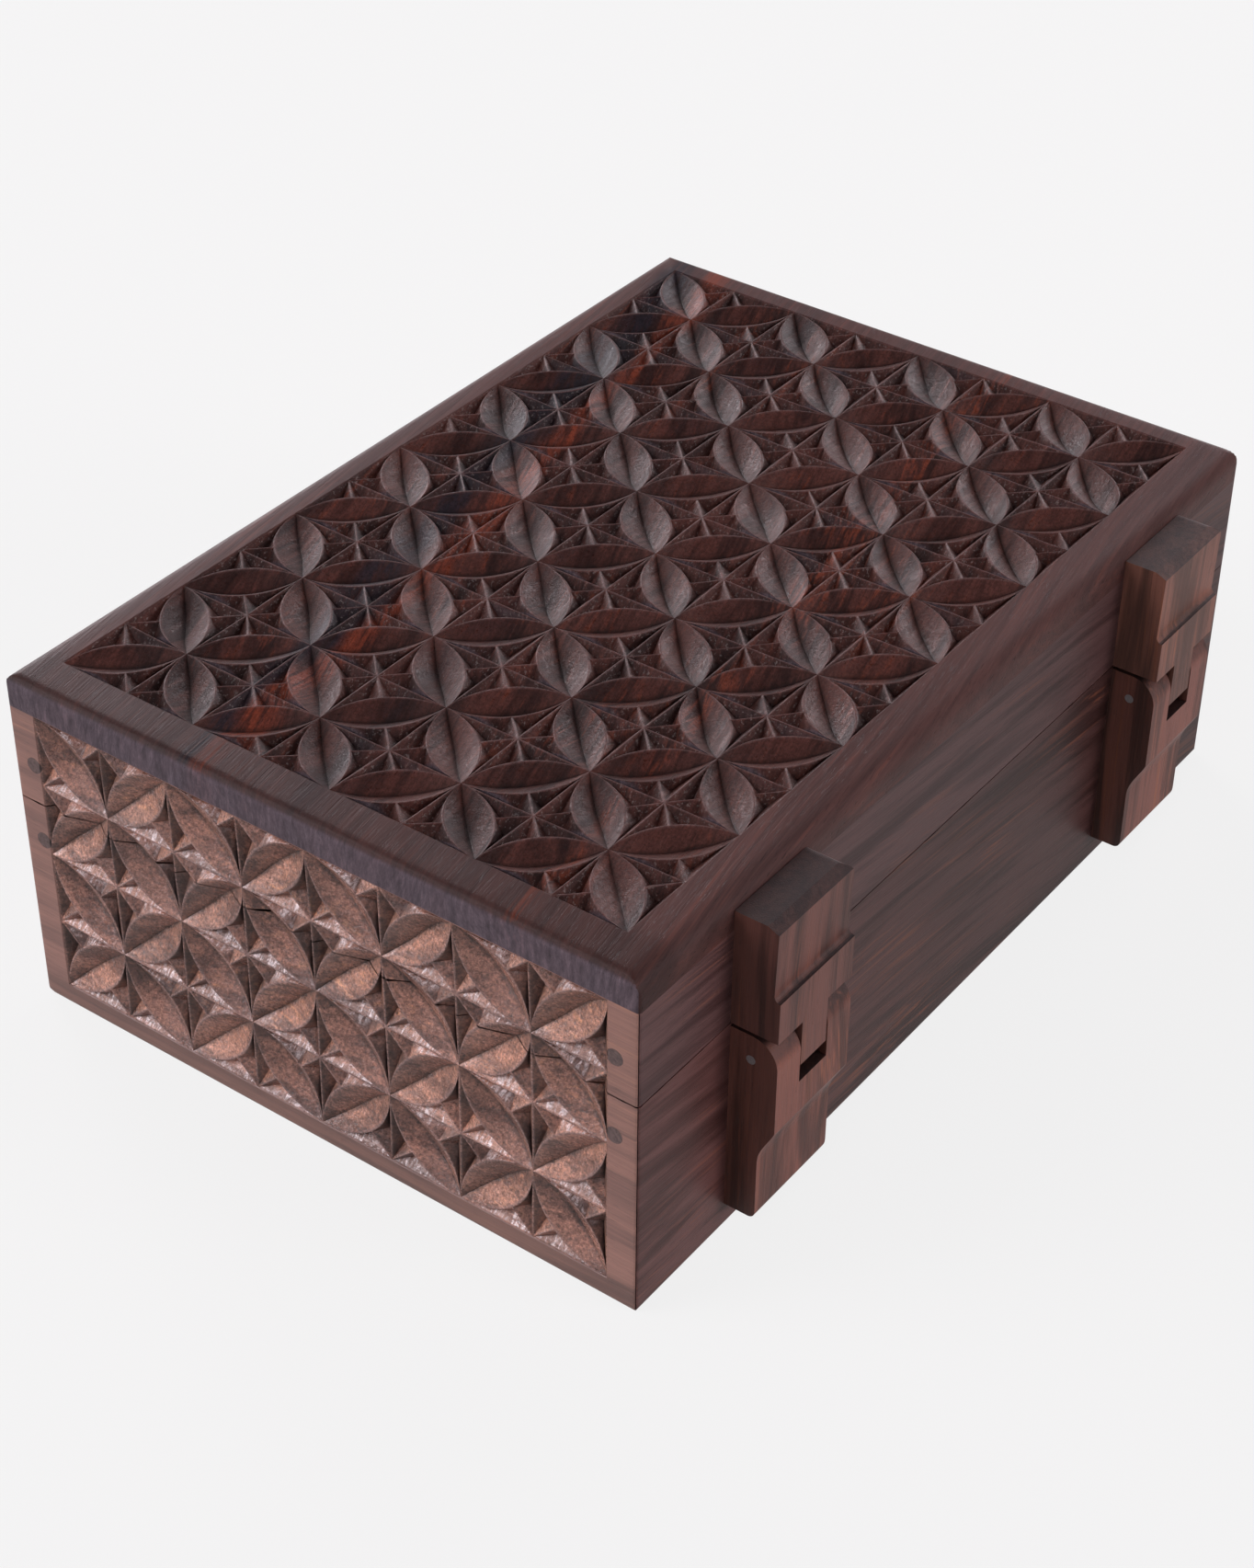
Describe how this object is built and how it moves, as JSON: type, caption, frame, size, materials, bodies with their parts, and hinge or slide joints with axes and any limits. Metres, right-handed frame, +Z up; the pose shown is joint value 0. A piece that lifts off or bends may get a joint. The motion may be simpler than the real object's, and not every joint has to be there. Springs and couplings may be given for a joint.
{
  "type": "jewelry organizer box",
  "caption": "Rectangular hardwood keepsake box with chip-carved petals and stars on top and sides, divided inside, its lid hung on wooden knuckle hinges with metal pins.",
  "frame": {"origin": "middle of the underside of the box, without its hinges", "axes": "+X along the box to its right end, +Y to the back where the hinges are, +Z up"},
  "size_m": [0.272, 0.201, 0.1],
  "materials": {
    "wood_top": "satin dark rosewood, streaked",
    "wood_side": "satin brown rosewood",
    "wood_back": "satin dark brown rosewood",
    "wood_hinge": "satin red-brown rosewood",
    "wood_inside": "plain planed wood",
    "wood_dowel": "dark end grain",
    "pin_metal": "dull steel"
  },
  "bodies": {
    "base": {"base_front": "wood_side", "base_back": "wood_back", "base_end_left": "wood_side", "base_end_right": "wood_side", "bottom_board": "wood_inside", "base_dowels": "wood_dowel", "divider_long": "wood_inside", "divider_cross_left": "wood_inside", "divider_cross_right": "wood_inside", "lower_hinge_leaf_left": "wood_hinge", "lower_hinge_leaf_right": "wood_hinge", "hinge_pins": "pin_metal"},
    "lid": {"top_board": "wood_top", "lid_front": "wood_side", "lid_back": "wood_back", "lid_end_left": "wood_side", "lid_end_right": "wood_side", "lid_dowels": "wood_dowel", "upper_hinge_leaf_left": "wood_hinge", "upper_hinge_leaf_right": "wood_hinge"}
  },
  "joints": [
    {"name": "lid_hinge", "type": "hinge", "parent": "base", "child": "lid", "pos_m": [0, 0.0998, 0.056], "axis": [-1, 0, 0], "range_deg": [0, 95]}
  ]
}
